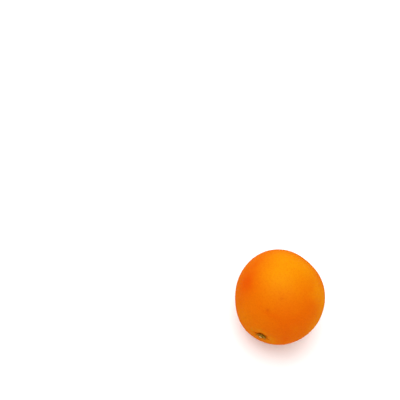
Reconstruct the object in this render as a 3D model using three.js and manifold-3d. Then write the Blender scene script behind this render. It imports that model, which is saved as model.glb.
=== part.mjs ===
// A navel orange as picked: one whole fruit, with the dry calyx still pressed into its stem end.
// The fruit lies on its side. Its stem end faces -Y and dips a little, its navel end faces +Y,
// and it rests on a small flat spot at z = 0. Millimetres, +Z up, origin under the middle of the whole.
import * as THREE from "three";
import { mergeVertices } from "three/addons/utils/BufferGeometryUtils.js";
import Module from "manifold-3d";

const wasm = await Module();
wasm.setup();

// ---- Driving dimensions, in millimetres and degrees ----

const WIDTH = 76; // across the widest girth
const LENGTH = 82; // stem end to navel end, with the hollow at the stem filled in
const STEM_DIP = 2; // degrees that the stem end points below the horizontal
const REST_SPOT_RADIUS = 7; // the flat spot that the fruit stands on

// Gentle swells and flats of the rind. Each points from the middle of the fruit: across to +X,
// towards the stem end, and down to the resting side.
const SWELLS = [
  { across: -0.65, stemward: -0.65, down: -0.4, height: 0.85, spread: 30 },
  { across: 0.3, stemward: -0.88, down: -0.38, height: -1.4, spread: 26 },
  { across: -0.86, stemward: 0.51, down: 0.01, height: -1.3, spread: 28 },
  { across: 0.65, stemward: 0.73, down: 0.22, height: -0.5, spread: 32 },
];

// The shallow hollow at the stem end, and the creases that run out of it.
const HOLLOW = { depth: 2.3, width: 6.5 };
const STEM_FLAT = { depth: 0.9, width: 15 };
const CREASES = [
  // where it runs out, how far from the middle it ends, how deep it is
  { at: 12, reach: 10.5, depth: 0.75 },
  { at: 58, reach: 8.5, depth: 0.4 },
  { at: 97, reach: 10, depth: 0.55 },
  { at: 151, reach: 8.5, depth: 0.4 },
  { at: 188, reach: 11, depth: 0.65 },
  { at: 236, reach: 8, depth: 0.3 },
  { at: 274, reach: 10, depth: 0.3 },
  { at: 322, reach: 9, depth: 0.35 },
];
const CREASE_HALF_WIDTH = 0.9;
const CREASE_START = 2.4; // under the calyx
const CREASE_RISE = 1.8; // how soon it is at its full depth
const CREASE_FADE = 0.45; // the share of its reach where it begins to run out

// The navel: a star of clefts between the lobes of the small second fruit. The clefts open into
// a pit and narrow towards a faint ring, outside of which the rind swells a little.
const NAVEL_RADIUS = 6.2;
const NAVEL_OUTLINE = { oval: 0.08, ovalAt: 25, skew: 0.05, skewAt: -60 };
const CLEFTS = [
  // where it runs out from the pit, how far, how deep, and its half width at the two ends
  { at: 34, reach: 6.4, depth: 1.6, inner: 0.75, outer: 0.5 },
  { at: 108, reach: 5.6, depth: 1.4, inner: 0.7, outer: 0.45 },
  { at: 171, reach: 6.7, depth: 1.6, inner: 0.8, outer: 0.5 },
  { at: 248, reach: 5.2, depth: 1.3, inner: 0.65, outer: 0.45 },
  { at: 309, reach: 6.3, depth: 1.5, inner: 0.75, outer: 0.5 },
];
const CLEFT_FADE = 0.25; // the share of its reach where a cleft begins to run out
const NAVEL_PIT = { depth: 2.2, halfWidth: 1.3 };
const NAVEL_RING = { depth: 0.55, halfWidth: 0.8 };
const LOBES = { sunk: 0.35, dome: 0.75, shoulder: 1.8, skirt: 0.4 };
const NAVEL_LIP = { height: 0.3, halfWidth: 3, outside: 2.8 };

// The calyx: five sepals round a cushion, with the stub of the cut stalk in the middle.
const SEPALS = [
  // where it begins round the stalk, middle to tip, and how far its tip curls up off the rind
  { begins: 0, length: 4.6, curl: 1.0 },
  { begins: 72, length: 4.4, curl: 1.6 },
  { begins: 132, length: 4.7, curl: 1.2 },
  { begins: 216, length: 4.8, curl: 1.5 },
  { begins: 288, length: 5.1, curl: 1.4 },
];
const SEPAL_SECTION = { thickness: 0.8, bevel: 0.15, slope: 0.3 };
const NOTCH_RADIUS = 3.1; // how near the middle the notches between the sepals come
const TIP_POINT = 1.1; // 1 gives straight-edged tips, and more gives rounder ones
const TIP_SWEEP = 1.4; // 1 lifts a sepal evenly, and more bends it up towards its tip
const CUSHION = { radius: 2.5, height: 1.4, foot: 2.75, footHeight: 1.2, shoulder: 2.1, crown: 1.6 };
const STUB = { radius: 1.2, foot: 1.35, footHeight: 1.05, height: 2, bevel: 0.15 };
const PITH = { radius: 0.35, rim: 0.6, depth: 0.35 };
const CALYX_GAP = 0.3; // clearance between the calyx and the rind below it

// How finely the surface is divided, as distances along it.
const ROUND = 72; // faces round the girth
const STEM_CAP = { reach: 15, step: 0.95 };
const NAVEL_CAP = { reach: 8.5, step: 0.52 };
const FLANK_STEP = 4.4;
const STEP_GROWTH = 0.25; // how fast the steps widen away from the two ends
const CALYX_ROUND = 60;
const SAME_POINT = 1e-4; // points of a mesh that are closer than this are one

// ---- The shape of the rind ----

const DEGREE = Math.PI / 180;
const MEAN_RADIUS = (WIDTH + WIDTH + LENGTH) / 6;

// A bell curve: 1 in the middle, fading out past the given half width.
function bell(distance, halfWidth) {
  return Math.exp(-((distance / halfWidth) ** 2));
}

// The shortest turn between two directions round the stalk, in radians.
function turnBetween(a, b) {
  return Math.abs(Math.atan2(Math.sin(a - b), Math.cos(a - b)));
}

// Rises from 0 at the first distance to 1 at the second.
const ramp = THREE.MathUtils.smoothstep;

// The direction at an angle from the stem end, and a direction round it, in the fruit's own frame.
// That frame has the stem end at +Y, +X across and +Z towards the resting side.
function directionAt(angle, round) {
  return new THREE.Vector3(
    Math.sin(angle) * Math.cos(round),
    Math.cos(angle),
    Math.sin(angle) * Math.sin(round),
  );
}

// The plain body: an ellipsoid with its swells, before the relief at the two ends.
function bodyRadius(direction) {
  const across = Math.hypot(direction.x, direction.z) / (WIDTH / 2);
  const along = direction.y / (LENGTH / 2);
  let radius = 1 / Math.hypot(across, along);
  for (const swell of SWELLS) {
    const middle = new THREE.Vector3(swell.across, swell.stemward, swell.down);
    const away = direction.angleTo(middle.normalize());
    radius += swell.height * bell(away, swell.spread * DEGREE);
  }
  return radius;
}

// Height of the rind over the plain body near the stem, at a distance along it.
function stemRelief(distance, round) {
  let height = -HOLLOW.depth * bell(distance, HOLLOW.width);
  height -= STEM_FLAT.depth * bell(distance, STEM_FLAT.width);
  const creases = CREASES.map((crease) => {
    const aside = turnBetween(round, crease.at * DEGREE) * distance;
    const inside = ramp(distance, CREASE_START, CREASE_START + CREASE_RISE);
    const outside = 1 - ramp(distance, crease.reach * CREASE_FADE, crease.reach);
    return crease.depth * bell(aside, CREASE_HALF_WIDTH) * inside * outside;
  });
  return height - Math.max(...creases);
}

// How far the navel reaches in each direction round it.
function navelReach(round) {
  const { oval, ovalAt, skew, skewAt } = NAVEL_OUTLINE;
  const ovalness = oval * Math.cos(2 * (round - ovalAt * DEGREE));
  const skewness = skew * Math.cos(3 * (round - skewAt * DEGREE));
  return NAVEL_RADIUS * (1 + ovalness + skewness);
}

// Height of the rind over the plain body near the navel, at a distance along it.
function navelRelief(distance, round) {
  const edge = navelReach(round);
  const onLobes = 1 - ramp(distance, edge - LOBES.shoulder, edge + LOBES.skirt);
  let height = onLobes * (LOBES.dome * (1 - (distance / edge) ** 2) - LOBES.sunk);
  height -= NAVEL_RING.depth * bell(distance - edge, NAVEL_RING.halfWidth);
  height += NAVEL_LIP.height * bell(distance - edge - NAVEL_LIP.outside, NAVEL_LIP.halfWidth);
  const clefts = CLEFTS.map((cleft) => {
    const along = Math.min(1, distance / cleft.reach);
    const halfWidth = THREE.MathUtils.lerp(cleft.inner, cleft.outer, along ** 2);
    const aside = turnBetween(round, cleft.at * DEGREE) * distance;
    const inside = 1 - ramp(distance, cleft.reach * CLEFT_FADE, cleft.reach);
    return cleft.depth * bell(aside, halfWidth) * inside;
  });
  const pit = NAVEL_PIT.depth * bell(distance, NAVEL_PIT.halfWidth);
  return height - Math.max(pit, ...clefts);
}

// The rind's point at an angle from the stem and a direction round it, lifted off it if asked.
function rindPoint(angle, round, lift = 0) {
  const direction = directionAt(angle, round);
  const fromStem = angle * MEAN_RADIUS;
  const fromNavel = (Math.PI - angle) * MEAN_RADIUS;
  const radius =
    bodyRadius(direction) + stemRelief(fromStem, round) + navelRelief(fromNavel, round);
  return direction.multiplyScalar(radius + lift);
}

// ---- The fruit ----

// Angles of the rings from stem to navel, close together where there is relief.
function ringAngles() {
  const whole = Math.PI * MEAN_RADIUS;
  const distances = [0];
  while (distances.at(-1) < whole) {
    const here = distances.at(-1);
    const pastStem = Math.max(0, here - STEM_CAP.reach);
    const beforeNavel = Math.max(0, whole - here - NAVEL_CAP.reach);
    const step = Math.min(
      FLANK_STEP,
      STEM_CAP.step + STEP_GROWTH * pastStem,
      NAVEL_CAP.step + STEP_GROWTH * beforeNavel,
    );
    distances.push(here + step);
  }
  return distances.map((d) => (d / distances.at(-1)) * Math.PI);
}

function fruitGeometry() {
  const rings = ringAngles();
  const geometry = new THREE.SphereGeometry(1, ROUND, rings.length - 1);
  const position = geometry.attributes.position;
  for (let i = 0; i < position.count; i++) {
    const round = Math.atan2(position.getZ(i), position.getX(i));
    const ring = Math.floor(i / (ROUND + 1));
    const point = rindPoint(rings[ring], round);
    position.setXYZ(i, point.x, point.y, point.z);
  }
  return turnedOut(geometry);
}

// ---- The calyx ----

// The calyx's outline: how far it reaches in each direction round the stalk, and the curl there.
function calyxStar(round) {
  const turn = THREE.MathUtils.euclideanModulo(round / DEGREE, 360);
  const here = SEPALS.findLastIndex((sepal) => sepal.begins <= turn);
  const { begins, length, curl } = SEPALS[here];
  const ends = here + 1 < SEPALS.length ? SEPALS[here + 1].begins : 360;
  const fromMiddle = Math.abs((2 * (turn - begins)) / (ends - begins) - 1);
  return { reach: THREE.MathUtils.lerp(length, NOTCH_RADIUS, fromMiddle ** TIP_POINT), curl };
}

// Half of the calyx's section: how far out from the stalk's middle, and how high over the rind.
// Its outer stretch is drawn as if the longest sepal reached all round.
function calyxSection(rim) {
  const sepalTop = CALYX_GAP + SEPAL_SECTION.thickness;
  return [
    [0, CALYX_GAP],
    [STUB.radius, CALYX_GAP],
    [CUSHION.radius, CALYX_GAP],
    [(CUSHION.radius + rim) / 2, CALYX_GAP],
    [rim, CALYX_GAP],
    [rim, sepalTop - SEPAL_SECTION.bevel],
    [rim - SEPAL_SECTION.slope, sepalTop],
    [(CUSHION.foot + rim) / 2, sepalTop],
    [CUSHION.foot, CUSHION.footHeight],
    [CUSHION.radius, CUSHION.height],
    [CUSHION.shoulder, CUSHION.crown],
    [STUB.foot, STUB.footHeight],
    [STUB.radius, STUB.height - STUB.bevel],
    [STUB.radius - STUB.bevel, STUB.height],
    [PITH.rim, STUB.height],
    [PITH.radius, STUB.height - PITH.depth],
    [0, STUB.height - PITH.depth],
  ].map(([radius, lift]) => new THREE.Vector2(radius, lift));
}

function calyxGeometry() {
  const rim = Math.max(...SEPALS.map((sepal) => sepal.length));
  const geometry = new THREE.LatheGeometry(calyxSection(rim), CALYX_ROUND);
  const position = geometry.attributes.position;
  for (let i = 0; i < position.count; i++) {
    const radius = Math.hypot(position.getX(i), position.getZ(i));
    const round = Math.atan2(position.getZ(i), position.getX(i));
    const { reach, curl } = calyxStar(round);
    const outward = Math.max(0, radius - CUSHION.radius) / (rim - CUSHION.radius);
    const drawn = radius + outward * (reach - rim);
    const pastNotch = Math.max(0, drawn - NOTCH_RADIUS) / (rim - NOTCH_RADIUS);
    const lift = position.getY(i) + curl * pastNotch ** TIP_SWEEP;
    const point = rindPoint(drawn / MEAN_RADIUS, round, lift);
    position.setXYZ(i, point.x, point.y, point.z);
  }
  return turnedOut(geometry);
}

// ---- Placing and finishing ----

// Drops the seams and turns the fruit from its own frame into the part's frame.
function turnedOut(geometry) {
  geometry.deleteAttribute("normal");
  geometry.deleteAttribute("uv");
  const merged = mergeVertices(geometry, SAME_POINT);
  return merged.rotateX((180 + STEM_DIP) * DEGREE);
}

// Merging leaves faces without area at the poles, which a closed solid can't have.
function solidOf(geometry) {
  const index = geometry.index.array;
  const kept = [];
  for (let i = 0; i < index.length; i += 3) {
    const [a, b, c] = index.slice(i, i + 3);
    if (a !== b && b !== c && c !== a) kept.push(a, b, c);
  }
  return new wasm.Manifold(
    new wasm.Mesh({
      numProp: 3,
      vertProperties: geometry.attributes.position.array,
      triVerts: new Uint32Array(kept),
    }),
  );
}

function geometryOf(solid) {
  const mesh = solid.getMesh();
  const geometry = new THREE.BufferGeometry();
  geometry.setAttribute("position", new THREE.BufferAttribute(mesh.vertProperties, 3));
  geometry.setIndex(new THREE.BufferAttribute(mesh.triVerts, 1));
  geometry.computeVertexNormals();
  return geometry;
}

// Cuts the flat resting spot off the fruit's lowest side. Returns the cut fruit and the spot's height.
function withRestSpot(geometry) {
  geometry.computeBoundingBox();
  const radius = WIDTH / 2;
  const sliver = radius - Math.sqrt(radius ** 2 - REST_SPOT_RADIUS ** 2);
  const floor = geometry.boundingBox.min.z + sliver;
  const block = new THREE.BoxGeometry(WIDTH * 2, LENGTH * 2, WIDTH);
  block.translate(0, 0, floor - WIDTH / 2);
  block.deleteAttribute("normal");
  block.deleteAttribute("uv");
  const cut = solidOf(geometry).subtract(solidOf(mergeVertices(block)));
  return { geometry: geometryOf(cut), floor };
}

const rind = new THREE.MeshStandardMaterial({ color: 0xf07a0a, roughness: 0.5, metalness: 0 });
const driedCalyx = new THREE.MeshStandardMaterial({ color: 0x7c6d1e, roughness: 0.8, metalness: 0 });

const { geometry: fruitShape, floor } = withRestSpot(fruitGeometry());
const fruit = new THREE.Mesh(fruitShape, rind);
fruit.name = "fruit";

const calyx = new THREE.Mesh(geometryOf(solidOf(calyxGeometry())), driedCalyx);
calyx.name = "calyx";

const orange = new THREE.Group();
orange.add(fruit, calyx);
const middle = new THREE.Box3().setFromObject(orange).getCenter(new THREE.Vector3());
orange.position.set(-middle.x, -middle.y, -floor);

export default orange;
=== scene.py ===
"""A navel orange as picked, lying on its side on a pale studio floor.

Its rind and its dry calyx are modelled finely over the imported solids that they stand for.
Dataclass fields are in millimetres and degrees unless they say otherwise. Meshes are in metres.
"""

import logging
import math
from dataclasses import dataclass, field
from enum import Enum

import bmesh
import bpy
import numpy as np
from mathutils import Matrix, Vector, noise

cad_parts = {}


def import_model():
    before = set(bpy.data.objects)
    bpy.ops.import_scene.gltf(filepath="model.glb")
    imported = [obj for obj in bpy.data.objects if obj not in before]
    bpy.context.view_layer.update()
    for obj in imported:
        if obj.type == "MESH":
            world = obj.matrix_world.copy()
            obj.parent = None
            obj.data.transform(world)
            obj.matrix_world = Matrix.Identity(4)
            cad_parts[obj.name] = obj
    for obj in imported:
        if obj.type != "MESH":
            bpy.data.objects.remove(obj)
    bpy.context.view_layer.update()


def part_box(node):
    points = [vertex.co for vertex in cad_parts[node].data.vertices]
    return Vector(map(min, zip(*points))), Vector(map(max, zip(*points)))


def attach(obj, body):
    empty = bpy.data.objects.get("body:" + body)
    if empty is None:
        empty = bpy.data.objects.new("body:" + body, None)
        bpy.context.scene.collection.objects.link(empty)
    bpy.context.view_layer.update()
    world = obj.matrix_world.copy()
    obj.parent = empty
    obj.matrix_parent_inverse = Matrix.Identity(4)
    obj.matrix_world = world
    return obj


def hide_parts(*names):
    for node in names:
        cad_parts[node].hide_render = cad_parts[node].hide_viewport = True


MM = 0.001  # one millimetre, in Blender's metres
WHOLE_TURN = 2 * math.pi
STEM_LAYER, NAVEL_LAYER = 3.7, 8.2  # where in the noise each end takes its bends from
NOISE_SEED = 5  # so that the creases and clefts bend the same way in each run
MIX_SHARE, MIX_BELOW, MIX_ABOVE, MIX_RESULT = 0, 6, 7, 2  # sockets of a mix node for colours
SURFACE_SOCKETS = {"colour": "Base Color", "normal": "Normal"}

Piece = bpy.types.Object
Socket = bpy.types.NodeSocket
Tree = bpy.types.NodeTree

log = logging.getLogger("orange")


class Body(Enum):
    """The bodies that a piece can ride on."""

    ROOT = "root"


class Node(Enum):
    """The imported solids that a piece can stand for."""

    FRUIT = "fruit"
    CALYX = "calyx"


class Slot(Enum):
    """The record's material slots."""

    RIND = "rind"
    DRY_CALYX = "dry_calyx"


class Mark(Enum):
    """Numbers stored on a piece's vertices, which its finish reads."""

    # painted shade in the creases by the stem
    FURROW = "furrow"
    # painted shade in the navel's clefts and its faint ring
    CLEFT = "cleft"
    # painted shade in the navel's pit
    PIT = "pit"
    STEM_RING = "stem_ring"
    # painted shade: redder patches where the shade falls
    BLUSH = "painted_shade"
    # painted light: yellower patches where the light falls
    SUNNED = "painted_light"
    SCUFF = "scuff"
    EDGE = "edge"
    DRYNESS = "dryness"
    # painted shade round the stub's side, over its real bark, and in the grooves between the sepals
    SEAM = "seam_shade"
    STALK = "stalk"


# ---- Small helpers ----


def linear(hex_colour: str) -> tuple[float, float, float, float]:
    """Turns an sRGB hex colour into the linear one that a shader takes.

    Args:
        hex_colour: six hex digits, such as "F36803".

    Returns:
        Linear red, green and blue, and an alpha of 1.
    """
    channels = [int(hex_colour[i : i + 2], 16) / 255 for i in (0, 2, 4)]
    bent = [c / 12.92 if c <= 0.04045 else ((c + 0.055) / 1.055) ** 2.4 for c in channels]
    return (*bent, 1.0)


def add_node(
    tree: Tree,
    kind: str,
    settings: dict[str, object] | None = None,
    inputs: dict[str | int, object] | None = None,
) -> bpy.types.Node:
    """Adds a node to a tree, with its settings, values and links.

    Args:
        tree: The shader or geometry tree.
        kind: The node's type name.
        settings: The node's own properties.
        inputs: For each input, by name or number, a value or the socket it is linked from.

    Returns:
        The new node.
    """
    node = tree.nodes.new(kind)
    for name, value in (settings or {}).items():
        setattr(node, name, value)
    for name, value in (inputs or {}).items():
        if isinstance(value, Socket):
            tree.links.new(value, node.inputs[name])
        else:
            node.inputs[name].default_value = value
    return node


def bell(distance: np.ndarray, half_width: float | np.ndarray) -> np.ndarray:
    """Gives a bell curve: 1 in the middle, fading out past the half width."""
    return np.exp(-((distance / half_width) ** 2))


def direction_at(angle: np.ndarray, turn: np.ndarray) -> np.ndarray:
    """Gives unit directions, a row each.

    Args:
        angle: Angles from the stem end, in radians.
        turn: Directions round the stalk, in radians.

    Returns:
        The directions in the fruit's own frame.
    """
    ring = np.sin(angle)
    return np.stack([ring * np.cos(turn), np.cos(angle), ring * np.sin(turn)], axis=1)


def ramp(value: np.ndarray, start: float | np.ndarray, end: float | np.ndarray) -> np.ndarray:
    """Rises smoothly from 0 at start to 1 at end."""
    share = np.clip((value - start) / (end - start), 0, 1)
    return share * share * (3 - 2 * share)


def turn_between(a: np.ndarray, b: float) -> np.ndarray:
    """Gives the shortest turn between directions round the stalk, in radians."""
    return np.abs(np.arctan2(np.sin(a - b), np.cos(a - b)))


def points_of(piece: Piece) -> np.ndarray:
    """Reads a mesh's points.

    Args:
        piece: The mesh object.

    Returns:
        Its points in metres, one row each.
    """
    flat = np.empty(len(piece.data.vertices) * 3, np.float32)
    piece.data.vertices.foreach_get("co", flat)
    return flat.reshape(-1, 3).astype(float)


def move_points(piece: Piece, points: np.ndarray) -> None:
    """Moves a mesh's points to those given, one row each."""
    piece.data.vertices.foreach_set("co", points.astype(np.float32).ravel())
    piece.data.update()


def write_mark(piece: Piece, mark: Mark, values: np.ndarray) -> None:
    """Stores one number a vertex."""
    layer = piece.data.attributes.new(mark.value, "FLOAT", "POINT")
    layer.data.foreach_set("value", values.astype(np.float32))


def select_points(piece: Piece, chosen: np.ndarray) -> None:
    """Selects the chosen vertices of a mesh in edit mode, and no others.

    Args:
        piece: The mesh object, in edit mode.
        chosen: True for each vertex to select.
    """
    mesh = bmesh.from_edit_mesh(piece.data)
    for vertex, wanted in zip(mesh.verts, chosen):
        vertex.select = bool(wanted)
    mesh.select_flush_mode()
    bmesh.update_edit_mesh(piece.data)


def added(name: str) -> Piece:
    """Names the object that was just added, and its mesh."""
    piece = bpy.context.object
    piece.name = piece.data.name = name
    return piece


def apply_modifier(piece: Piece, kind: str, settings: dict[str, object]) -> None:
    """Adds a modifier to the active piece and applies it.

    Args:
        piece: The active object.
        kind: The modifier's type name.
        settings: Its properties.
    """
    bpy.ops.object.modifier_add(type=kind)
    modifier = piece.modifiers[-1]
    for name, value in settings.items():
        setattr(modifier, name, value)
    bpy.ops.object.modifier_apply(modifier=modifier.name)


def new_material(name: str, shader_inputs: dict[str, object]) -> bpy.types.Material:
    """Makes a material with one principled shader.

    Args:
        name: What the real material is.
        shader_inputs: Values for the shader's own sockets.

    Returns:
        The material. Its shader node is named "surface".
    """
    material = bpy.data.materials.new(name)
    material.use_nodes = True
    tree = material.node_tree
    tree.nodes.clear()
    surface = add_node(tree, "ShaderNodeBsdfPrincipled", {"name": "surface"}, shader_inputs)
    add_node(tree, "ShaderNodeOutputMaterial", {}, {"Surface": surface.outputs["BSDF"]})
    return material


# ---- The form of the fruit ----


@dataclass(frozen=True)
class Facing:
    """A direction from the middle of the fruit."""

    across: float
    stemward: float
    down: float

    def away(self, directions: np.ndarray) -> np.ndarray:
        """Gives how far unit directions, one row each, are from this one, in radians."""
        middle = np.array([self.across, self.stemward, self.down])
        return np.arccos(np.clip(directions @ (middle / np.linalg.norm(middle)), -1, 1))


@dataclass(frozen=True)
class Swell(Facing):
    """A gentle swell or flat of the rind."""

    height: float
    spread: float


@dataclass(frozen=True)
class Dip:
    """A round dip, or a swell where its depth is negative."""

    depth: float
    half_width: float


@dataclass(frozen=True)
class Crease:
    """A crease that runs out of the hollow at the stem."""

    at: float
    reach: float
    depth: float


@dataclass(frozen=True)
class Cleft:
    """A cleft between two lobes of the navel, with its half width at the two ends."""

    at: float
    reach: float
    depth: float
    inner: float
    outer: float


@dataclass(frozen=True)
class Around:
    """Points round one end of the fruit."""

    distance: np.ndarray  # from the middle of that end, along the rind
    turn: np.ndarray  # directions round the stalk, in radians


@dataclass(frozen=True)
class FruitForm:
    """The whole fruit as formulas, in its own frame.

    The stem end is at +Y, +X is across, and +Z is the side that the fruit rests on.
    """

    width: float = 76.0
    length: float = 82.0
    swells: tuple[Swell, ...] = (
        Swell(-0.65, -0.65, -0.4, height=0.85, spread=30),
        Swell(0.3, -0.88, -0.38, height=-1.4, spread=26),
        Swell(-0.86, 0.51, 0.01, height=-1.3, spread=28),
        Swell(0.65, 0.73, 0.22, height=-0.5, spread=32),
    )
    hollow: Dip = Dip(2.3, 6.5)
    stem_flat: Dip = Dip(0.9, 15)
    creases: tuple[Crease, ...] = (
        Crease(12, 10.5, 0.75),
        Crease(58, 8.5, 0.4),
        Crease(97, 10, 0.55),
        Crease(151, 8.5, 0.4),
        Crease(188, 11, 0.65),
        Crease(236, 8, 0.3),
        Crease(274, 10, 0.3),
        Crease(322, 9, 0.35),
    )
    crease_half_width: float = 0.9
    crease_start: float = 2.4
    crease_rise: float = 1.8
    crease_fade: float = 0.45  # the share of its reach where a crease begins to run out
    navel_radius: float = 6.2
    navel_oval: float = 0.08
    navel_oval_at: float = 25
    navel_skew: float = 0.05
    navel_skew_at: float = -60
    clefts: tuple[Cleft, ...] = (
        Cleft(34, 6.4, 1.6, 0.75, 0.5),
        Cleft(108, 5.6, 1.4, 0.7, 0.45),
        Cleft(171, 6.7, 1.6, 0.8, 0.5),
        Cleft(248, 5.2, 1.3, 0.65, 0.45),
        Cleft(309, 6.3, 1.5, 0.75, 0.5),
    )
    cleft_fade: float = 0.25  # the share of its reach where a cleft begins to run out
    navel_pit: Dip = Dip(2.2, 1.3)
    navel_ring: Dip = Dip(0.55, 0.8)
    lobe_sunk: float = 0.35  # how far the lobes' edge lies below the plain body
    lobe_dome: float = 0.75
    lobe_shoulder: float = 1.8
    lobe_skirt: float = 0.4
    navel_lip: Dip = Dip(-0.3, 3)
    lip_outside: float = 2.8
    bend: float = 0.35  # how far growth has bent the creases and clefts aside
    bend_size: float = 3.2  # from one bend to the next
    bend_reach: float = 20.0  # how far from the ends the bends are worked out

    @property
    def mean_radius(self) -> float:
        """The radius that turns an angle into a distance along the rind."""
        return (self.width + self.width + self.length) / 6

    def body_radius(self, directions: np.ndarray) -> np.ndarray:
        """Gives the plain body's radius.

        Args:
            directions: Unit directions from the middle, one row each.

        Returns:
            The radius in each direction.
        """
        across = np.hypot(directions[:, 0], directions[:, 2]) / (self.width / 2)
        radius = 1 / np.hypot(across, directions[:, 1] / (self.length / 2))
        for swell in self.swells:
            radius += swell.height * bell(swell.away(directions), math.radians(swell.spread))
        return radius

    def furrow_share(self, near: Around) -> np.ndarray:
        """Gives the depth of the deepest crease at each point by the stem.

        Args:
            near: Points round the stem end.

        Returns:
            The depth of the deepest crease at each point.
        """
        deepest = np.zeros_like(near.distance)
        for crease in self.creases:
            aside = turn_between(near.turn, math.radians(crease.at)) * near.distance
            inside = ramp(near.distance, self.crease_start, self.crease_start + self.crease_rise)
            outside = 1 - ramp(near.distance, crease.reach * self.crease_fade, crease.reach)
            here = crease.depth * bell(aside, self.crease_half_width) * inside * outside
            deepest = np.maximum(deepest, here)
        return deepest

    def cleft_depth(self, near: Around) -> np.ndarray:
        """Gives the depth of the deepest cleft at each point by the navel.

        Args:
            near: Points round the navel end.

        Returns:
            The depth of the deepest cleft at each point.
        """
        deepest = np.zeros_like(near.distance)
        for cleft in self.clefts:
            along = np.minimum(1, near.distance / cleft.reach)
            half_width = cleft.inner + (cleft.outer - cleft.inner) * along**2
            aside = turn_between(near.turn, math.radians(cleft.at)) * near.distance
            inside = 1 - ramp(near.distance, cleft.reach * self.cleft_fade, cleft.reach)
            deepest = np.maximum(deepest, cleft.depth * bell(aside, half_width) * inside)
        return deepest

    def pit_depth(self, distance: np.ndarray) -> np.ndarray:
        """Gives the depth of the pit in the middle of the navel."""
        return self.navel_pit.depth * bell(distance, self.navel_pit.half_width)

    def stem_relief(self, near: Around) -> np.ndarray:
        """Gives the rind's height over the plain body near the stem.

        Args:
            near: Points round the stem end.

        Returns:
            The height at each point.
        """
        hollow = self.hollow.depth * bell(near.distance, self.hollow.half_width)
        flat = self.stem_flat.depth * bell(near.distance, self.stem_flat.half_width)
        return -hollow - flat - self.furrow_share(near)

    def navel_edge(self, turn: np.ndarray) -> np.ndarray:
        """Gives how far the navel reaches.

        Args:
            turn: Directions round the stalk, in radians.

        Returns:
            The distance from its middle to its edge in each direction.
        """
        oval = self.navel_oval * np.cos(2 * (turn - math.radians(self.navel_oval_at)))
        skew = self.navel_skew * np.cos(3 * (turn - math.radians(self.navel_skew_at)))
        return self.navel_radius * (1 + oval + skew)

    def navel_relief(self, near: Around) -> np.ndarray:
        """Gives the rind's height over the plain body near the navel.

        Args:
            near: Points round the navel end.

        Returns:
            The height at each point.
        """
        distance, edge = near.distance, self.navel_edge(near.turn)
        on_lobes = 1 - ramp(distance, edge - self.lobe_shoulder, edge + self.lobe_skirt)
        height = on_lobes * (self.lobe_dome * (1 - (distance / edge) ** 2) - self.lobe_sunk)
        height -= self.navel_ring.depth * bell(distance - edge, self.navel_ring.half_width)
        past_edge = distance - edge - self.lip_outside
        height -= self.navel_lip.depth * bell(past_edge, self.navel_lip.half_width)
        return height - np.maximum(self.pit_depth(distance), self.cleft_depth(near))

    def bent(self, distance: np.ndarray, turn: np.ndarray, layer: float) -> Around:
        """Bends the relief at one end a little, so that no crease or cleft runs quite straight.

        Args:
            distance: From the middle of that end, along the rind.
            turn: Directions round the stalk, in radians.
            layer: Which end it is, so that the two ends bend differently.

        Returns:
            The bent points.
        """
        near = distance < self.bend_reach
        flat = np.stack([distance[near] * np.cos(turn[near]), distance[near] * np.sin(turn[near])])
        nudges = [noise.noise_vector((u, v, layer)).xy for u, v in (flat / self.bend_size).T]
        settled = ramp(distance[near], 0, self.bend_size)
        flat += self.bend * settled * np.array(nudges).reshape(-1, 2).T
        bent_distance, bent_turn = distance.copy(), turn.copy()
        bent_distance[near] = np.hypot(flat[0], flat[1])
        bent_turn[near] = np.arctan2(flat[1], flat[0])
        return Around(bent_distance, bent_turn)

    def rind_points(
        self, angle: np.ndarray, turn: np.ndarray, lift: float | np.ndarray = 0.0
    ) -> np.ndarray:
        """Gives the rind's points.

        Args:
            angle: Angles from the stem end, in radians.
            turn: Directions round the stalk, in radians.
            lift: How far off the rind the points are.

        Returns:
            The points, one row each.
        """
        directions = direction_at(angle, turn)
        radius = self.body_radius(directions)
        radius += self.stem_relief(self.bent(angle * self.mean_radius, turn, STEM_LAYER))
        from_navel = (math.pi - angle) * self.mean_radius
        radius += self.navel_relief(self.bent(from_navel, turn, NAVEL_LAYER))
        return directions * (radius + lift)[:, None]


@dataclass
class Stance:
    """How the fruit lies: its stem end faces -Y and dips a little."""

    dip: float = 2.0
    shift: Vector = field(default_factory=Vector)  # metres

    def turn_over(self, piece: Piece) -> None:
        """Turns a piece from the fruit's own frame to how it lies."""
        piece.rotation_euler.x = math.radians(180 + self.dip)
        bpy.ops.object.transform_apply(location=False, rotation=True, scale=False)

    def settle_on(self, piece: Piece, node: Node) -> None:
        """Finds the shift that brings the turned piece to where its solid lies.

        Args:
            piece: The turned piece.
            node: The solid that it stands for.
        """
        points = points_of(piece)
        low, high = points.min(axis=0), points.max(axis=0)
        solid_low, solid_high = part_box(node.value)
        middle = (solid_low + solid_high) / 2
        across = middle.x - (low[0] + high[0]) / 2
        along = middle.y - (low[1] + high[1]) / 2
        self.shift = Vector((across, along, solid_high.z - high[2]))

    def carry(self, piece: Piece) -> None:
        """Shifts a turned piece to its place."""
        piece.location = self.shift
        bpy.ops.object.transform_apply(location=True, rotation=False, scale=False)


# ---- Finishes ----


@dataclass(frozen=True)
class Grain:
    """A soft noise pattern, with the size of its clouds, its detail and how rough that is."""

    size: float
    detail: float
    roughness: float = 0.5


@dataclass(frozen=True)
class Span:
    """Values from low to high that are mapped to a share from bottom to top."""

    low: float
    high: float
    top: float = 1.0
    bottom: float = 0.0


@dataclass(frozen=True)
class Bump:
    """Relief that only bends the light: its strength, 0 to 1, and its height."""

    strength: float
    height: float


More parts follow.
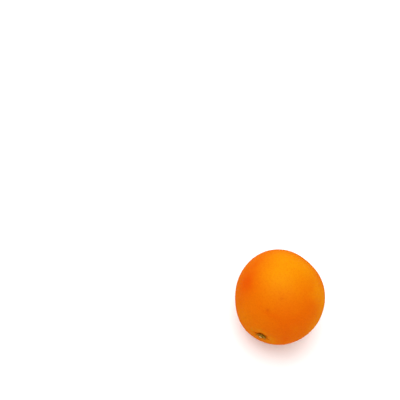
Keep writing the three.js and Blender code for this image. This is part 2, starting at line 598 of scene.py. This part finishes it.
@dataclass
class Graph:
    """A shader or geometry tree, with the socket for where on the piece it is, in metres."""

    tree: Tree
    place: Socket

    def mark(self, mark: Mark) -> Socket:
        """Reads a number stored on the piece's vertices."""
        settings = {"attribute_name": mark.value}
        return add_node(self.tree, "ShaderNodeAttribute", settings).outputs["Fac"]

    def noise(self, grain: Grain) -> Socket:
        """Adds a soft noise pattern between 0 and 1."""
        inputs = {"Vector": self.place, "Scale": 1 / (grain.size * MM)}
        inputs |= {"Detail": grain.detail, "Roughness": grain.roughness}
        return add_node(self.tree, "ShaderNodeTexNoise", {}, inputs).outputs["Fac"]

    def calculate(self, operation: str, *values: Socket | float) -> Socket:
        """Adds a calculation."""
        inputs = dict(enumerate(values))
        return add_node(self.tree, "ShaderNodeMath", {"operation": operation}, inputs).outputs["Value"]

    def share(self, value: Socket, shown: Span) -> Socket:
        """Maps a span of values smoothly to a share.

        Args:
            value: The value.
            shown: The span, which may run downwards.

        Returns:
            The share, from the span's bottom to its top.
        """
        inputs = {"Value": value, "From Min": shown.low, "From Max": shown.high}
        inputs |= {"To Min": shown.bottom, "To Max": shown.top}
        settings = {"interpolation_type": "SMOOTHSTEP"}
        return add_node(self.tree, "ShaderNodeMapRange", settings, inputs).outputs["Result"]

    def paint(self, ground: str, layers: tuple[tuple[Mark | Socket, str], ...]) -> Socket:
        """Lays colours over one another.

        Args:
            ground: The lowest colour.
            layers: For each layer, upwards, how much of it shows and its colour.

        Returns:
            The blended colour.
        """
        colour = linear(ground)
        for share, above in layers:
            shown = self.mark(share) if isinstance(share, Mark) else share
            inputs = {MIX_SHARE: shown, MIX_BELOW: colour, MIX_ABOVE: linear(above)}
            colour = add_node(self.tree, "ShaderNodeMix", {"data_type": "RGBA"}, inputs)
            colour = colour.outputs[MIX_RESULT]
        return colour

    def relief(self, height: Socket, bump: Bump, sunk: bool = False, **over: Socket) -> Socket:
        """Adds relief that only bends the light.

        Args:
            height: The pattern, 0 to 1.
            bump: How strong and how high it is.
            sunk: Whether the pattern goes into the surface.
            over: Normal, where this relief lies on another.

        Returns:
            The bent normal.
        """
        inputs = {"Height": height, "Strength": bump.strength, "Distance": bump.height * MM}
        return add_node(self.tree, "ShaderNodeBump", {"invert": sunk}, inputs | over).outputs["Normal"]

    def dress(self, **sockets: Socket) -> None:
        """Links the surface's Colour and Normal, where they are given."""
        surface = self.tree.nodes["surface"]
        for name, socket in sockets.items():
            self.tree.links.new(socket, surface.inputs[SURFACE_SOCKETS[name]])


def plain_surface(roughness: float, ior: float, sheen: float) -> dict[str, object]:
    """Gives the shader's values for a surface with no coat."""
    return {"Roughness": roughness, "IOR": ior, "Specular IOR Level": sheen}


def graph_of(material: bpy.types.Material) -> Graph:
    """Gives the graph of a new material."""
    tree = material.node_tree
    return Graph(tree, add_node(tree, "ShaderNodeTexCoord").outputs["Object"])


@dataclass(frozen=True)
class OilGlands:
    """The oil glands of the peel: fine round pits, and finer ones between them."""

    spacing: float = 1.7
    evenness: float = 0.15
    reach: float = 0.72  # of the spacing
    depth: float = 0.15
    fine_spacing: float = 0.8
    unevenness: float = 0.14  # how far the rind rises and falls between the glands
    rolling: Grain = Grain(9.0, 1.0)

    def pits(self, graph: Graph, spacing: float) -> Socket:
        """Adds the pattern of pits: 1 in the middle of each and 0 between them.

        Args:
            graph: The shader or geometry tree.
            spacing: From one gland to the next.

        Returns:
            The pattern.
        """
        inputs = {"Vector": graph.place, "Scale": 1 / (spacing * MM)}
        inputs["Randomness"] = 1 - self.evenness
        cells = add_node(graph.tree, "ShaderNodeTexVoronoi", {"feature": "F1"}, inputs)
        return graph.share(cells.outputs["Distance"], Span(0.0, self.reach, top=0.0, bottom=1.0))

    def relief(self) -> Tree:
        """Makes the geometry nodes that sink the pits into a mesh.

        Returns:
            The node group.
        """
        tree = bpy.data.node_groups.new("oil_gland_pits", "GeometryNodeTree")
        for way in ("INPUT", "OUTPUT"):
            tree.interface.new_socket("Geometry", in_out=way, socket_type="NodeSocketGeometry")
        whole = add_node(tree, "NodeGroupInput").outputs["Geometry"]
        normal = add_node(tree, "GeometryNodeInputNormal").outputs["Normal"]
        graph = Graph(tree, add_node(tree, "GeometryNodeInputPosition").outputs["Position"])
        swing = self.unevenness * MM
        rise = graph.calculate("MULTIPLY_ADD", graph.noise(self.rolling), 2 * swing, -swing)
        pit = self.pits(graph, self.spacing)
        sink = graph.calculate("MULTIPLY_ADD", pit, -self.depth * MM, rise)
        inputs = {"Vector": normal, "Scale": sink}
        offset = add_node(tree, "ShaderNodeVectorMath", {"operation": "SCALE"}, inputs)
        inputs = {"Geometry": whole, "Offset": offset.outputs["Vector"]}
        sunk = add_node(tree, "GeometryNodeSetPosition", {}, inputs)
        add_node(tree, "NodeGroupOutput", {}, {"Geometry": sunk.outputs["Geometry"]})
        return tree


@dataclass(frozen=True)
class CitrusPeel:
    """Ripe citrus peel as picked: deep orange, matt, dotted by its glands, under a thin wax."""

    glands: OilGlands
    orange: str = "D16403"
    amber: str = "D68303"  # the yellower clouds in it, and the painted light on the lit top and the pale rims
    vermilion: str = "CC4401"  # the redder clouds in it, and the redder painted shade
    gland_tone: str = "C75802"
    stem_green: str = "BB8412"
    # painted shade in the creases by the stem
    crease_shade_brown: str = "9C2E02"
    # painted shade in the navel's clefts and ring, and in its pit
    cleft_shade_red: str = "8B2C07"
    pit_shade_brown: str = "2E1005"
    scuff_russet: str = "B44704"
    clouds: Grain = Grain(24.0, 3.0)
    amber_clouds: Span = Span(0.5, 0.75, 0.5)
    vermilion_clouds: Span = Span(0.48, 0.28, 0.5)
    gland_dots: Span = Span(0, 1, 0.22)
    fine_dots: Span = Span(0, 1, 0.15)
    blotches: Grain = Grain(3.2, 2.0, 0.6)  # of the green round the stem
    blotched: Span = Span(0.35, 0.7, 0.6)
    gland_rims: Bump = Bump(0.35, 0.1)  # too crisp for the mesh
    fine_rims: Bump = Bump(0.3, 0.05)
    roughness: float = 0.5
    ior: float = 1.45
    bare_sheen: float = 0.0  # all of the sheen is the wax's
    wax: float = 0.03
    wax_roughness: float = 0.35

    def material(self) -> bpy.types.Material:
        """Builds the peel's material.

        Returns:
            The material.
        """
        coat = {"Coat Weight": self.wax, "Coat Roughness": self.wax_roughness, "Coat IOR": self.ior}
        bare = plain_surface(self.roughness, self.ior, self.bare_sheen)
        material = new_material("citrus_peel", bare | coat)
        graph = graph_of(material)
        pit = self.glands.pits(graph, self.glands.spacing)
        fine = self.glands.pits(graph, self.glands.fine_spacing)
        clouds = graph.noise(self.clouds)
        blotched = graph.share(graph.noise(self.blotches), self.blotched)
        # the peel's own tones, with painted light and painted shade among them
        skin_with_painted_light_and_shade = (
            (graph.share(clouds, self.amber_clouds), self.amber),
            (graph.share(clouds, self.vermilion_clouds), self.vermilion),
            # painted light, laid in amber
            (Mark.SUNNED, self.amber),
            # painted shade, laid in vermilion
            (Mark.BLUSH, self.vermilion),
            (graph.share(pit, self.gland_dots), self.gland_tone),
            (graph.share(fine, self.fine_dots), self.gland_tone),
        )
        # the green and the scuffs by the ends, with painted shade in the creases and the navel
        ends = (
            (graph.calculate("MULTIPLY", graph.mark(Mark.STEM_RING), blotched), self.stem_green),
            (Mark.SCUFF, self.scuff_russet),
            # painted shade in the creases by the stem
            (Mark.FURROW, self.crease_shade_brown),
            # painted shade in the navel's clefts, ring and pit
            (Mark.CLEFT, self.cleft_shade_red),
            (Mark.PIT, self.pit_shade_brown),
        )
        rims = graph.relief(pit, self.gland_rims, sunk=True)
        finer_rims = graph.relief(fine, self.fine_rims, sunk=True, Normal=rims)
        graph.dress(colour=graph.paint(self.orange, skin_with_painted_light_and_shade + ends), normal=finer_rims)
        return material


@dataclass(frozen=True)
class DryCalyx:
    """A calyx a week or two off the tree: leathery, olive in the middle, brown at its dry edges."""

    olive: str = "88680A"
    tan: str = "B26C14"
    brown: str = "7A460E"
    shadow: str = "38220A"
    grain: Grain = Grain(0.7, 4.0, 0.6)
    flecks: Span = Span(0.5, 0.72, 0.65)
    stains: Span = Span(0.46, 0.3, 0.6)
    leather: Bump = Bump(0.9, 0.3)
    roughness: float = 0.78
    ior: float = 1.45
    sheen: float = 0.1

    def material(self) -> bpy.types.Material:
        """Builds the calyx's material.

        Returns:
            The material.
        """
        material = new_material("dried_calyx", plain_surface(self.roughness, self.ior, self.sheen))
        graph = graph_of(material)
        grain = graph.noise(self.grain)
        layers = (
            (Mark.DRYNESS, self.tan),
            (graph.share(grain, self.flecks), self.tan),
            (graph.share(grain, self.stains), self.brown),
            (Mark.EDGE, self.brown),
            # painted shade, in the shadow colour, round the stub and in the grooves
            (Mark.SEAM, self.shadow),
        )
        graph.dress(colour=graph.paint(self.olive, layers), normal=graph.relief(grain, self.leather))
        return material


@dataclass(frozen=True)
class CutStalk:
    """The cut face of the stalk: pale dry wood with a darker bark ring and pith."""

    cream: str = "EAAE6C"
    bark: str = "896028"
    pith: str = "533516"
    fibres: Grain = Grain(0.35, 3.0)
    fibre_lines: Span = Span(0.4, 0.8, 0.6)
    bark_ring: Span = Span(0.82, 1.0)  # of the stub's radius
    pith_disc: Span = Span(0.42, 0.2)
    roughness: float = 0.85
    ior: float = 1.45
    sheen: float = 0.15

    def material(self) -> bpy.types.Material:
        """Builds the cut face's material.

        Returns:
            The material.
        """
        material = new_material("cut_stalk", plain_surface(self.roughness, self.ior, self.sheen))
        graph = graph_of(material)
        from_middle = graph.mark(Mark.STALK)
        layers = (
            (graph.share(graph.noise(self.fibres), self.fibre_lines), self.bark),
            (graph.share(from_middle, self.bark_ring), self.bark),
            (graph.share(from_middle, self.pith_disc), self.pith),
        )
        graph.dress(colour=graph.paint(self.cream, layers))
        return material


@dataclass(frozen=True)
class StudioBoard:
    """Matt painted board: pale and even."""

    paint: str = "F8F8F8"

    def material(self) -> bpy.types.Material:
        """Builds the board's material."""
        return new_material(
            "matt_studio_board", {"Base Color": linear(self.paint), "Roughness": 0.95}
        )


# ---- The rind ----


@dataclass(frozen=True)
class Patch(Facing):
    """A soft round patch of another colour."""

    size: float
    strength: float


@dataclass
class Rind:
    """The whole fruit: its rind from the hollow at the stem to the clefts of the navel."""

    form: FruitForm
    stance: Stance
    glands: OilGlands
    finish: CitrusPeel
    cuts: int = 48  # of each edge of the first sphere
    gather: float = 0.55  # how much the mesh is drawn towards the two ends
    gather_width: float = 0.3  # radians
    green_reach: float = 8.5  # from the stem
    green_half_width: float = 3.4
    green_least_at: float = -10.0  # where round the stem the green is faintest
    green_least: float = 0.3  # the share that is left there
    crease_shade_tint: tuple[float, float] = (0.2, 0.65)  # of the painted shade in the creases, from no colour to full, by depth
    # painted shade in the navel, from no colour to full, by depth
    cleft_shade_tint: tuple[float, float] = (0.2, 1.3)
    pit_shade_tint: tuple[float, float] = (0.7, 1.9)
    ring_shade_tint: float = 0.3
    ring_shade_swing: float = 0.2  # how much fainter the ring's painted shade is on one side
    # Patches of painted shade: redder, darker sides and rims
    painted_shade_patches: tuple[Patch, ...] = (
        Patch(-0.7, 0.3, -0.7, size=11, strength=0.8),
        Patch(0.5, 0.7, -0.5, size=15, strength=0.4),
        Patch(0.8, 0.2, -0.6, size=10, strength=0.3),
        Patch(0.35, -0.5, 0.8, size=18, strength=0.5),
    )
    # Patches of painted light: the lit top and the pale, lit rims
    painted_light: tuple[Patch, ...] = (
        Patch(-0.1, 0.0, -1.0, size=18, strength=0.9),
        Patch(-0.2, -0.5, -0.8, size=12, strength=0.6),
        Patch(0.3, -0.5, -0.8, size=14, strength=0.7),
        Patch(0.9, -0.2, -0.4, size=14, strength=0.8),
        Patch(1.0, 0.3, 0.0, size=14, strength=0.6),
        Patch(-0.5, 0.9, -0.2, size=10, strength=0.3),
        Patch(-0.4, -0.85, 0.35, size=16, strength=0.4),
        Patch(0.0, -1.0, 0.0, size=7, strength=0.5),
    )
    scuffs: tuple[Patch, ...] = (
        Patch(-0.04, 0.7, -0.7, size=1.3, strength=0.55),
        Patch(0.13, 0.45, -0.9, size=1.6, strength=0.25),
        Patch(0.82, -0.2, 0.3, size=1.2, strength=0.4),
        Patch(-0.5, -0.7, 0.5, size=1.5, strength=0.35),
        Patch(0.3, -0.85, 0.2, size=1.1, strength=0.4),
    )

    def build(self) -> Piece:
        """Builds the rind.

        Returns:
            The mesh object.
        """
        rind = self.fine_sphere()
        self.shape(rind)
        self.stance.turn_over(rind)
        self.stance.settle_on(rind, Node.FRUIT)
        self.stance.carry(rind)
        apply_modifier(rind, "NODES", {"node_group": self.glands.relief()})
        self.flatten_underside(rind)
        bpy.ops.object.shade_smooth()
        rind.data.materials.append(self.finish.material())
        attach(rind, Body.ROOT.value)
        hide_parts(Node.FRUIT.value)
        return rind

    def fine_sphere(self) -> Piece:
        """Adds an icosphere and divides its faces evenly.

        Returns:
            The mesh object, one metre in radius.
        """
        bpy.ops.object.select_all(action="DESELECT")
        bpy.ops.mesh.primitive_ico_sphere_add(subdivisions=2, radius=1.0, location=(0, 0, 0))
        rind = added("orange_rind")
        bpy.ops.object.mode_set(mode="EDIT")
        bpy.ops.mesh.select_all(action="SELECT")
        bpy.ops.mesh.subdivide(number_cuts=self.cuts)
        bpy.ops.transform.tosphere(value=1.0)
        bpy.ops.object.mode_set(mode="OBJECT")
        return rind

    def gathered(self, even: np.ndarray) -> np.ndarray:
        """Draws the mesh towards the two ends, where the relief is finest.

        Args:
            even: Evenly spread angles from the stem end, in radians.

        Returns:
            The angles after drawing.
        """
        width = self.gather_width
        drawn = np.tanh(even / width) - np.tanh((math.pi - even) / width)
        drawn += math.tanh(math.pi / width)
        angle = even - self.gather * width * drawn
        return angle * math.pi / (math.pi - 2 * self.gather * width * math.tanh(math.pi / width))

    def shape(self, rind: Piece) -> None:
        """Moves the sphere's points onto the fruit's form, and marks what the finish needs.

        Args:
            rind: The sphere.
        """
        points = points_of(rind)
        even = np.arccos(np.clip(points[:, 1] / np.linalg.norm(points, axis=1), -1, 1))
        turn = np.arctan2(points[:, 2], points[:, 0])
        angle = self.gathered(even)
        move_points(rind, self.form.rind_points(angle, turn) * MM)
        from_stem = angle * self.form.mean_radius
        from_navel = (math.pi - angle) * self.form.mean_radius
        self.mark_stem_end(rind, self.form.bent(from_stem, turn, STEM_LAYER), turn)
        self.mark_navel(rind, self.form.bent(from_navel, turn, NAVEL_LAYER))
        directions = direction_at(angle, turn)
        # painted shade, painted light and real scuffs, each as patches
        patches = {Mark.BLUSH: self.painted_shade_patches, Mark.SUNNED: self.painted_light, Mark.SCUFF: self.scuffs}
        for mark, patched in patches.items():
            write_mark(rind, mark, self.patched(directions, patched))

    def mark_stem_end(self, rind: Piece, near: Around, turn: np.ndarray) -> None:
        """Marks the painted shade in the creases, and the green ring.

        Args:
            rind: The rind.
            near: Its points round the stem end, bent.
            turn: Their directions round the stalk before bending, in radians.
        """
        # painted shade, darkest in the deepest creases
        write_mark(rind, Mark.FURROW, ramp(self.form.furrow_share(near), *self.crease_shade_tint))
        ring = bell(near.distance - self.green_reach, self.green_half_width)
        facing = (1 + np.cos(turn - math.radians(self.green_least_at))) / 2
        write_mark(rind, Mark.STEM_RING, ring * (1 - (1 - self.green_least) * facing))

    def mark_navel(self, rind: Piece, near: Around) -> None:
        """Marks the painted shade in the clefts, the faint ring and the pit.

        Args:
            rind: The rind.
            near: Its points round the navel, bent.
        """
        form = self.form
        # painted shade in the clefts and in the ring's groove
        cleft = ramp(form.cleft_depth(near), *self.cleft_shade_tint)
        ring = bell(near.distance - form.navel_edge(near.turn), form.navel_ring.half_width)
        ring *= self.ring_shade_tint + self.ring_shade_swing * np.cos(near.turn)
        write_mark(rind, Mark.CLEFT, np.maximum(cleft, ring))
        write_mark(rind, Mark.PIT, ramp(form.pit_depth(near.distance), *self.pit_shade_tint))

    def patched(self, directions: np.ndarray, patches: tuple[Patch, ...]) -> np.ndarray:
        """Gives how much the patches cover the rind.

        Args:
            directions: Unit directions from the middle, one row each.
            patches: The patches.

        Returns:
            The share covered in each direction, 0 to 1.
        """
        total = np.zeros(len(directions))
        for patch in patches:
            away = patch.away(directions) * self.form.mean_radius
            total += patch.strength * bell(away, patch.size)
        return np.clip(total, 0, 1)

    def flatten_underside(self, rind: Piece) -> None:
        """Presses what reaches below the floor flat onto it.

        Args:
            rind: The rind, in its place.
        """
        below = points_of(rind)[:, 2] < 0
        bpy.ops.object.mode_set(mode="EDIT")
        select_points(rind, below)
        bpy.ops.transform.resize(value=(1, 1, 0), center_override=(0, 0, 0))
        bpy.ops.object.mode_set(mode="OBJECT")


# ---- The calyx ----


@dataclass(frozen=True)
class Sepal:
    """One sepal: where it begins round the stalk, its reach, its tip's curl and how dry it is."""

    begins: float
    length: float
    curl: float
    dryness: float  # 0 to 1


@dataclass(frozen=True)
class Ripple:
    """Soft noise on the calyx: its height, the size of a ripple and its layer of the noise."""

    height: float
    size: float
    layer: float


@dataclass
class Calyx:
    """Five dry sepals round a cushion, with the stub of the cut stalk in the middle."""

    form: FruitForm
    stance: Stance
    finish: DryCalyx
    cut_finish: CutStalk
    sepals: tuple[Sepal, ...] = (
        Sepal(0, 4.6, 1.0, 0.95),
        Sepal(72, 4.4, 1.6, 0.95),
        Sepal(132, 4.7, 1.2, 0.7),
        Sepal(216, 4.8, 1.5, 0.1),
        Sepal(288, 5.1, 1.4, 0.15),
    )
    notch_radius: float = 3.1
    tip_point: float = 1.1  # above 1 the sepals are rounder at the tip
    gap: float = 0.3
    root_thickness: float = 0.8  # of the sepals, by the cushion
    tip_thickness: float = 0.4
    cushion_radius: float = 2.5
    crown: float = 1.6  # the top of the cushion
    crown_slant: float = 0.15  # how much higher it is on its upper side
    stub_radius: float = 1.2
    stub_height: float = 2.0
    stub_slant: float = 0.15
    stub_lean: float = 0.5  # how far the stub's top has leant towards -X
    steps: int = 60
    tip_curl: float = 1.4  # how late the tips begin to curl
    sepal_blend: float = 0.7  # from the cushion's look to the sepals'
    underside: float = 0.1  # above the gap, what counts as the underside
    wrinkles: Ripple = Ripple(0.16, 1.1, 1.5)
    wrinkles_on_cushion: float = 0.4
    vein_height: float = 0.07
    vein_waves: float = 3.5
    groove_depth: float = 0.35
    groove_beside: tuple[float, float] = (0.7, 1.0)  # from a sepal's middle, 0, to its notch, 1
    groove_along: tuple[float, float] = (1.9, 2.7)
    keel_height: float = 0.14
    keel_along: tuple[float, float] = (2.6, 3.2)
    cushion_from: tuple[float, float] = (1.5, 1.9)
    cushion_until: tuple[float, float] = (2.5, 2.9)
    cushion_folds: Ripple = Ripple(0.09, 0.8, 6.5)
    stub_from: tuple[float, float] = (1.1, 1.5)  # the height where the stub's slant sets in
    stub_margin: float = 0.05
    stub_slant_at: float = 0.7  # radians round the stalk
    lean_from: float = 0.9
    lean_margin: float = 0.25
    tip_brown: tuple[float, float] = (0.74, 1.0)  # the share of a sepal's length
    tip_brown_until: float = 3.6
    margin_brown: tuple[float, float] = (0.6, 1.0)
    brownness: float = 0.3
    dry_patches: Ripple = Ripple(0.25, 1.6, 9.5)
    dry_along: tuple[float, float] = (1.4, 3.4)
    # the dark band on the stub's side: its real bark, with painted shade over it
    bark_and_shade_width: float = 0.35
    cut_rim: float = 0.1  # below the stub's top
    groove_shade: float = 0.7
    cut_within: float = 0.99  # of the stub's radius
    cut_facing: float = -0.2
    cut_before: float = -0.03  # metres

    def profile(self) -> tuple[tuple[float, float], ...]:
        """Gives half of the section.

        Returns:
            The distance from the stalk's middle and the height over the rind, point by point.
        """
        rim = max(sepal.length for sepal in self.sepals)
        root_top = self.gap + self.root_thickness
        tip_top = self.gap + self.tip_thickness
        stub, top = self.stub_radius, self.stub_height
        underside = ((0.0, self.gap), (2.0, self.gap), (3.2, self.gap), (rim - 0.1, self.gap))
        sepal = (
            (rim, (self.gap + tip_top) / 2),
            (rim - 0.1, tip_top),
            (rim - 0.6, tip_top + 0.1),
            (3.2, root_top),
            (2.85, root_top + 0.05),
        )
        cushion = (
            (2.6, self.crown - 0.3),
            (2.4, self.crown - 0.08),
            (2.1, self.crown),
            (1.8, self.crown - 0.12),
        )
        ditch = ((stub + 0.3, 1.15), (stub + 0.1, 1.0), (stub, 1.2))
        cut = (
            (stub, top - 0.15),
            (stub - 0.12, top),
            (0.6, top - 0.03),
            (0.38, top - 0.3),
            (0.0, top - 0.35),
        )
        return underside + sepal + cushion + ditch + cut

    def build(self) -> Piece:
        """Builds the calyx.

        Returns:
            The mesh object.
        """
        calyx = self.turned_blank()
        apply_modifier(calyx, "SUBSURF", {"levels": 2, "render_levels": 2})
        self.lay_on_rind(calyx)
        self.stance.turn_over(calyx)
        self.stance.carry(calyx)
        bpy.ops.object.shade_smooth()
        calyx.data.materials.append(self.finish.material())
        calyx.data.materials.append(self.cut_finish.material())
        self.paint_cut_face(calyx)
        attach(calyx, Body.ROOT.value)
        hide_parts(Node.CALYX.value)
        return calyx

    def turned_blank(self) -> Piece:
        """Draws the section edge by edge and spins it round the stalk.

        Returns:
            The mesh object.
        """
        bpy.ops.object.select_all(action="DESELECT")
        bpy.ops.mesh.primitive_plane_add(size=MM, location=(0, 0, 0))
        calyx = added("dry_calyx")
        section = self.profile()
        bpy.ops.object.mode_set(mode="EDIT")
        bpy.ops.mesh.select_all(action="SELECT")
        bpy.ops.mesh.merge(type="CENTER")
        bpy.ops.transform.translate(value=(0, section[0][1] * MM, 0))
        for (radius, lift), (next_radius, next_lift) in zip(section, section[1:]):
            step = ((next_radius - radius) * MM, (next_lift - lift) * MM, 0)
            bpy.ops.mesh.extrude_region_move(TRANSFORM_OT_translate={"value": step})
        bpy.ops.mesh.select_all(action="SELECT")
        bpy.ops.mesh.spin(steps=self.steps, angle=WHOLE_TURN, center=(0, 0, 0), axis=(0, 1, 0))
        bpy.ops.mesh.select_all(action="SELECT")
        bpy.ops.mesh.remove_doubles(threshold=0.01 * MM)
        bpy.ops.mesh.normals_make_consistent(inside=False)
        bpy.ops.object.mode_set(mode="OBJECT")
        return calyx

    def star(self, turn: np.ndarray) -> tuple[np.ndarray, np.ndarray, np.ndarray, np.ndarray]:
        """Gives the star's outline.

        Args:
            turn: Directions round the stalk, in radians.

        Returns:
            How far the sepals reach, how near the direction is to a notch, 0 to 1, and the curl
            and the dryness of the sepal that it crosses.
        """
        degrees = np.mod(np.degrees(turn), 360)
        reach, aside, curl, dryness = np.zeros((4, len(turn)))
        ends = [sepal.begins for sepal in self.sepals[1:]] + [360 + self.sepals[0].begins]
        for sepal, end in zip(self.sepals, ends):
            here = (degrees >= sepal.begins) & (degrees < end)
            aside[here] = np.abs(2 * (degrees[here] - sepal.begins) / (end - sepal.begins) - 1)
            pointed = sepal.length + (self.notch_radius - sepal.length) * aside**self.tip_point
            reach[here] = pointed[here]
            curl[here] = sepal.curl
            dryness[here] = sepal.dryness
        return reach, aside, curl, dryness

    def ripples(self, flat: np.ndarray, ripple: Ripple) -> np.ndarray:
        """Gives soft noise, the same on the top and the underside of a sepal.

        Args:
            flat: The two coordinates of each point across the stalk.
            ripple: The noise.

        Returns:
            The height at each point.
        """
        heights = [noise.noise((u, v, ripple.layer)) for u, v in (flat / ripple.size).T]
        return ripple.height * np.array(heights)

    def lay_on_rind(self, calyx: Piece) -> None:
        """Cuts the star by drawing the rim in, curls the tips and lays all of it on the rind.

        Args:
            calyx: The turned blank.
        """
        points = points_of(calyx) / MM
        radius = np.hypot(points[:, 0], points[:, 2])
        turn = np.arctan2(points[:, 2], points[:, 0])
        height = points[:, 1]
        rim = max(sepal.length for sepal in self.sepals)
        reach, aside, curl, dryness = self.star(turn)
        outward = np.maximum(0, radius - self.cushion_radius) / (rim - self.cushion_radius)
        drawn = radius + outward * (reach - rim)
        flat = np.stack([drawn * np.cos(turn), drawn * np.sin(turn)])

        on_sepal = ramp(drawn, self.cushion_radius, self.cushion_radius + self.sepal_blend)
        on_top = ramp(height, self.gap + self.underside, self.gap + self.tip_thickness)
        groove = ramp(aside, *self.groove_beside) * ramp(drawn, *self.groove_along) * on_top
        past_notch = np.maximum(0, drawn - self.notch_radius) / (rim - self.notch_radius)
        lift = height + curl * past_notch**self.tip_curl
        wrinkled = self.wrinkles_on_cushion + (1 - self.wrinkles_on_cushion) * on_sepal
        lift += self.ripples(flat, self.wrinkles) * wrinkled
        veins = np.cos(self.vein_waves * math.pi * aside)
        lift += self.vein_height * veins * on_sepal * on_top
        lift += self.keel_height * (1 - aside) ** 2 * ramp(drawn, *self.keel_along) * on_top
        on_cushion = ramp(radius, *self.cushion_from) * (1 - ramp(radius, *self.cushion_until))
        on_cushion *= on_top
        lift += on_cushion * self.ripples(flat, self.cushion_folds)
        lift -= self.crown_slant * on_cushion * np.sin(turn)
        on_stub = (radius < self.stub_radius + self.stub_margin) * ramp(height, *self.stub_from)
        slant = radius * np.cos(turn - self.stub_slant_at) / self.stub_radius
        lift += self.stub_slant * on_stub * slant - self.groove_depth * groove

        near_stub = radius < self.stub_radius + self.lean_margin
        flat[0] -= self.stub_lean * near_stub * ramp(height, self.lean_from, self.stub_height)
        distance, laid_turn = np.hypot(*flat), np.arctan2(flat[1], flat[0])
        laid = self.form.rind_points(distance / self.form.mean_radius, laid_turn, lift)
        move_points(calyx, laid * MM)

        tip = ramp(drawn / reach, *self.tip_brown)
        tip *= ramp(drawn, self.notch_radius, self.tip_brown_until)
        margin = ramp(aside, *self.margin_brown) * on_sepal
        write_mark(calyx, Mark.EDGE, np.clip(self.brownness * (tip + margin), 0, 1))
        dry = np.clip(dryness + self.ripples(flat, self.dry_patches), 0, 1)
        write_mark(calyx, Mark.DRYNESS, dry * ramp(drawn, *self.dry_along))
        # The stub's dark side is partly real bark and partly painted shade; the grooves get painted
        # shade.
        bark = radius > self.stub_radius - self.stub_margin
        bark &= radius < self.stub_radius + self.bark_and_shade_width
        bark &= height < self.stub_height - self.cut_rim
        write_mark(calyx, Mark.SEAM, np.clip(bark + self.groove_shade * groove, 0, 1))
        write_mark(calyx, Mark.STALK, radius / self.stub_radius)

    def paint_cut_face(self, calyx: Piece) -> None:
        """Gives the faces of the cut their own finish.

        Args:
            calyx: The calyx, in its place.
        """
        stalk = np.empty(len(calyx.data.vertices), np.float32)
        calyx.data.attributes[Mark.STALK.value].data.foreach_get("value", stalk)
        along = points_of(calyx)[:, 1]
        for face in calyx.data.polygons:
            corners = list(face.vertices)
            within = max(stalk[corners]) < self.cut_within
            if within and face.normal.y < self.cut_facing and along[corners].max() < self.cut_before:
                face.material_index = 1


# ---- The studio ----


@dataclass(frozen=True)
class SoftLight:
    """A broad, even light, far enough away that it falls alike all over the floor."""

    name: str
    tilt: float  # from straight above
    towards: float  # which way it is tilted, from +X round to +Y
    brightness: float  # of a white board that faces it
    spread: float  # how wide the light looks from the fruit


@dataclass
class Studio:
    """A pale floor, soft light from above, behind and the side, and the camera."""

    board: StudioBoard
    floor_size: float = 12.0  # metres
    surround: float = 0.7  # brightness of the walls all round
    wall_paint: str = "FFFFFF"
    lens: float = 48.6
    sensor: float = 36.0
    camera_place: tuple[float, float, float] = (0.0325, -0.2171, 0.4546)  # metres
    camera_look: tuple[float, float, float] = (-0.2658, 0.536, -0.8013)
    lights: tuple[SoftLight, ...] = (
        SoftLight("back_light", tilt=45, towards=135, brightness=0.35, spread=90),
        SoftLight("top_light", tilt=0, towards=0, brightness=0.5, spread=60),
        SoftLight("side_light", tilt=45, towards=-45, brightness=0.1, spread=45),
    )

    def build(self) -> None:
        """Builds the floor, the lights and the camera."""
        self.lay_floor()
        for light in self.lights:
            self.hang(light)
        self.light_surround()
        self.set_camera()

    def lay_floor(self) -> None:
        """Lays the board that the fruit rests on."""
        bpy.ops.object.select_all(action="DESELECT")
        bpy.ops.mesh.primitive_plane_add(size=self.floor_size, location=(0, 0, 0))
        floor = bpy.context.object
        floor.name = "studio_floor"
        floor.data.materials.append(self.board.material())

    def hang(self, light: SoftLight) -> None:
        """Adds one light and turns it towards the fruit.

        Args:
            light: Its name, direction, brightness and spread.
        """
        bpy.ops.object.light_add(type="SUN", location=(0, 0, 1))
        lamp = bpy.context.object
        lamp.name = light.name
        lamp.data.energy = math.pi * light.brightness
        lamp.data.angle = math.radians(light.spread)
        lamp.rotation_euler = (0, math.radians(light.tilt), math.radians(light.towards))

    def light_surround(self) -> None:
        """Makes the even light of the pale walls."""
        world = bpy.data.worlds.new("studio_walls")
        world.use_nodes = True
        world.node_tree.nodes.clear()
        inputs = {"Color": linear(self.wall_paint), "Strength": self.surround}
        walls = add_node(world.node_tree, "ShaderNodeBackground", {}, inputs)
        outputs = {"Surface": walls.outputs["Background"]}
        add_node(world.node_tree, "ShaderNodeOutputWorld", {}, outputs)
        bpy.context.scene.world = world
        bpy.context.scene.view_settings.view_transform = "Standard"

    def set_camera(self) -> None:
        """Sets the camera that looks down on the fruit."""
        bpy.ops.object.camera_add(location=self.camera_place)
        camera = bpy.context.object
        camera.name = "camera"
        camera.data.lens = self.lens
        camera.data.sensor_width = self.sensor
        camera.rotation_euler = Vector(self.camera_look).to_track_quat("-Z", "Y").to_euler()
        bpy.context.scene.camera = camera


def main() -> None:
    """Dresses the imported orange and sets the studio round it."""
    logging.basicConfig(level=logging.INFO, format="%(message)s")
    noise.seed_set(NOISE_SEED)
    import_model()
    form = FruitForm()
    stance = Stance()
    glands = OilGlands()
    rind = Rind(form, stance, glands, CitrusPeel(glands)).build()
    log.info("%s: %d faces", rind.name, len(rind.data.polygons))
    calyx = Calyx(form, stance, DryCalyx(), CutStalk()).build()
    log.info("%s: %d faces", calyx.name, len(calyx.data.polygons))
    Studio(StudioBoard()).build()


if __name__ == "__main__":
    main()
